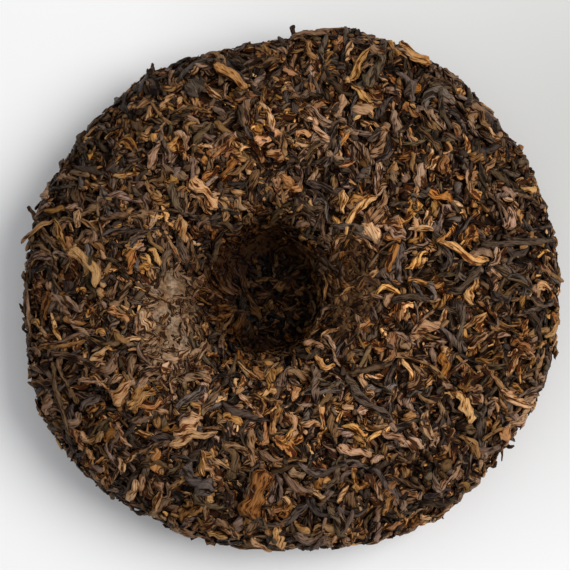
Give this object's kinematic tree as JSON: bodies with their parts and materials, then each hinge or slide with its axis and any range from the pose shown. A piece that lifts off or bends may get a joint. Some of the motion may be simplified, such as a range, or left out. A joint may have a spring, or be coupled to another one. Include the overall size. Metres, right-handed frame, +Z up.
{
  "type": "pu erh tea cake",
  "caption": "Small round cake of pressed ripe pu erh tea, lying with its dimpled back up.",
  "frame": {"origin": "middle of the cake's box, on the surface that the cake lies on", "axes": "+Z up through the thin way of the cake, out of its dimpled back; +X and +Y across it"},
  "size_m": [0.1066, 0.1054, 0.0204],
  "materials": {
    "pressed_tea": "dry twisted leaf strips, satin to matt, near black to golden brown"
  },
  "bodies": {
    "root": {"tea_cake": "pressed_tea"}
  },
  "joints": []
}
